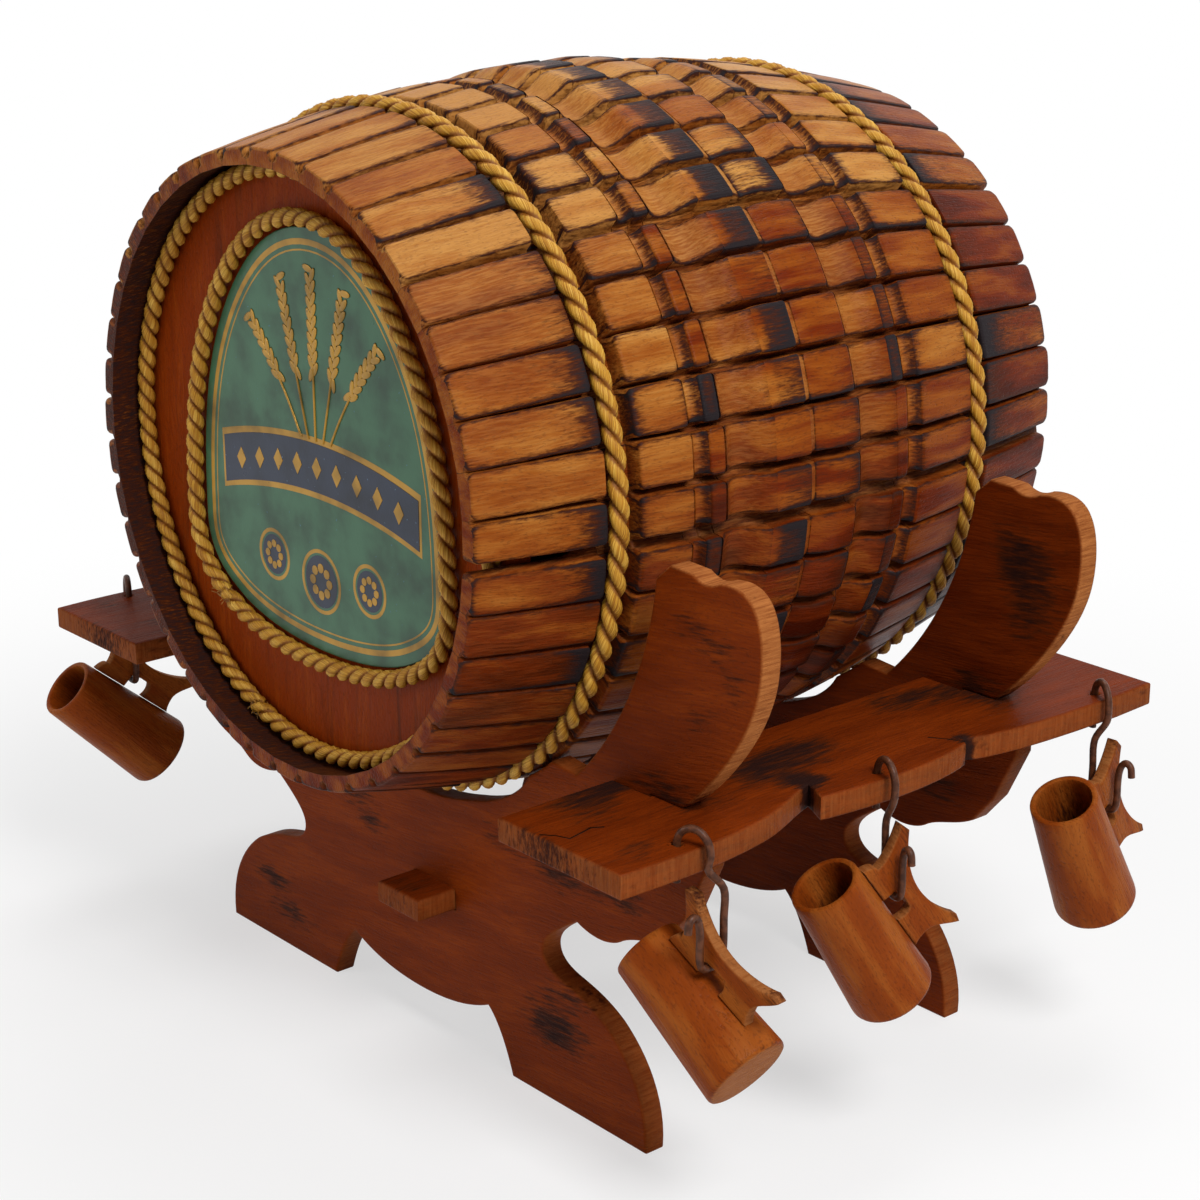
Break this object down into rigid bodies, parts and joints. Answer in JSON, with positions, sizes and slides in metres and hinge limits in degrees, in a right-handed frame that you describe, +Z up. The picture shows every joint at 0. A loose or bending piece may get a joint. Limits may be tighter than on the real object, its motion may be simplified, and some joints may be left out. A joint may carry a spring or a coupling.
{
  "type": "decorative wooden barrel on a stand",
  "caption": "Bulging wooden barrel with rope hoops lying in a sawn trestle stand, with side shelves whose wire hooks carry small wooden mugs.",
  "frame": {"origin": "on the floor, under the middle of the stand", "axes": "+X to the right seen from the front head, +Y along the barrel to the rear, +Z up"},
  "size_m": [0.4742, 0.315, 0.4096],
  "materials": {
    "stave_wood": "varnished reddish brown wood with charred edges",
    "head_wood": "varnished orange brown wood",
    "stand_wood": "varnished brown wood with burnt patches",
    "mug_wood": "varnished light orange brown wood",
    "rope": "twisted gold yarn rope",
    "panel": "glossy printed green panel",
    "wire": "dark copper brown wire"
  },
  "bodies": {
    "stand": {"trestle_front": "stand_wood", "trestle_rear": "stand_wood", "shelf_right": "stand_wood", "shelf_left": "stand_wood", "stretcher": "stand_wood"},
    "barrel": {"stave_pair_01": "stave_wood", "stave_pair_02": "stave_wood", "stave_pair_03": "stave_wood", "stave_pair_04": "stave_wood", "stave_pair_05": "stave_wood", "stave_pair_06": "stave_wood", "stave_pair_07": "stave_wood", "stave_pair_08": "stave_wood", "stave_pair_09": "stave_wood", "stave_pair_10": "stave_wood", "stave_pair_11": "stave_wood", "stave_pair_12": "stave_wood", "stave_pair_13": "stave_wood", "stave_pair_14": "stave_wood", "stave_pair_15": "stave_wood", "stave_pair_16": "stave_wood", "stave_pair_17": "stave_wood", "stave_pair_18": "stave_wood", "stave_pair_19": "stave_wood", "stave_pair_20": "stave_wood", "stave_pair_21": "stave_wood", "stave_pair_22": "stave_wood", "front_head": "head_wood", "rear_head": "head_wood", "label_panel": "panel", "rope_hoop_front": "rope", "rope_hoop_rear": "rope", "rope_head_ring": "rope", "rope_label_loop": "rope"},
    "hook_right_front": {"hook_right_front": "wire"},
    "mug_right_front": {"mug_right_front": "mug_wood", "mug_handle_right_front": "mug_wood"},
    "hook_right_middle": {"hook_right_middle": "wire"},
    "mug_right_middle": {"mug_right_middle": "mug_wood", "mug_handle_right_middle": "mug_wood"},
    "hook_right_rear": {"hook_right_rear": "wire"},
    "mug_right_rear": {"mug_right_rear": "mug_wood", "mug_handle_right_rear": "mug_wood"},
    "hook_left_front": {"hook_left_front": "wire"},
    "mug_left_front": {"mug_left_front": "mug_wood", "mug_handle_left_front": "mug_wood"},
    "hook_left_middle": {"hook_left_middle": "wire"},
    "mug_left_middle": {"mug_left_middle": "mug_wood", "mug_handle_left_middle": "mug_wood"},
    "hook_left_rear": {"hook_left_rear": "wire"},
    "mug_left_rear": {"mug_left_rear": "mug_wood", "mug_handle_left_rear": "mug_wood"}
  },
  "joints": [
    {"name": "barrel_lift", "type": "slide", "parent": "stand", "child": "barrel", "axis": [0, 0, 1], "range_m": [0, 0.16]},
    {"name": "hook_turn_right_front", "type": "hinge", "parent": "stand", "child": "hook_right_front", "pos_m": [0.19, -0.116, 0.155], "axis": [0, 0, 1], "range_deg": [-10, 10]},
    {"name": "mug_swing_right_front", "type": "hinge", "parent": "hook_right_front", "child": "mug_right_front", "pos_m": [0.20269, -0.11008, 0.109], "axis": [0.0698, -0.9976, 0], "range_deg": [-25, 8]},
    {"name": "hook_turn_right_middle", "type": "hinge", "parent": "stand", "child": "hook_right_middle", "pos_m": [0.19, -0.011, 0.155], "axis": [0, 0, 1], "range_deg": [-26, 40]},
    {"name": "mug_swing_right_middle", "type": "hinge", "parent": "hook_right_middle", "child": "mug_right_middle", "pos_m": [0.20352, -0.01462, 0.109], "axis": [0.9659, -0.2588, 0], "range_deg": [-15, 33]},
    {"name": "hook_turn_right_rear", "type": "hinge", "parent": "stand", "child": "hook_right_rear", "pos_m": [0.19, 0.121, 0.155], "axis": [0, 0, 1], "range_deg": [-4, 40]},
    {"name": "mug_swing_right_rear", "type": "hinge", "parent": "hook_right_rear", "child": "mug_right_rear", "pos_m": [0.20269, 0.11508, 0.109], "axis": [0.9962, 0.0872, 0], "range_deg": [-12, 37]},
    {"name": "hook_turn_left_front", "type": "hinge", "parent": "stand", "child": "hook_left_front", "pos_m": [-0.19, -0.116, 0.155], "axis": [0, 0, 1], "range_deg": [-2, 40]},
    {"name": "mug_swing_left_front", "type": "hinge", "parent": "hook_left_front", "child": "mug_left_front", "pos_m": [-0.20269, -0.11008, 0.109], "axis": [0.9877, -0.1564, 0], "range_deg": [-30, 18]},
    {"name": "hook_turn_left_middle", "type": "hinge", "parent": "stand", "child": "hook_left_middle", "pos_m": [-0.19, -0.011, 0.155], "axis": [0, 0, 1], "range_deg": [-40, 32]},
    {"name": "mug_swing_left_middle", "type": "hinge", "parent": "hook_left_middle", "child": "mug_left_middle", "pos_m": [-0.20386, -0.01295, 0.109], "axis": [0.9945, 0.1045, 0], "range_deg": [-22, 27]},
    {"name": "hook_turn_left_rear", "type": "hinge", "parent": "stand", "child": "hook_left_rear", "pos_m": [-0.19, 0.121, 0.155], "axis": [0, 0, 1], "range_deg": [-10, 40]},
    {"name": "mug_swing_left_rear", "type": "hinge", "parent": "hook_left_rear", "child": "mug_left_rear", "pos_m": [-0.20269, 0.12692, 0.109], "axis": [0.0698, 0.9976, 0], "range_deg": [-25, 8]}
  ]
}
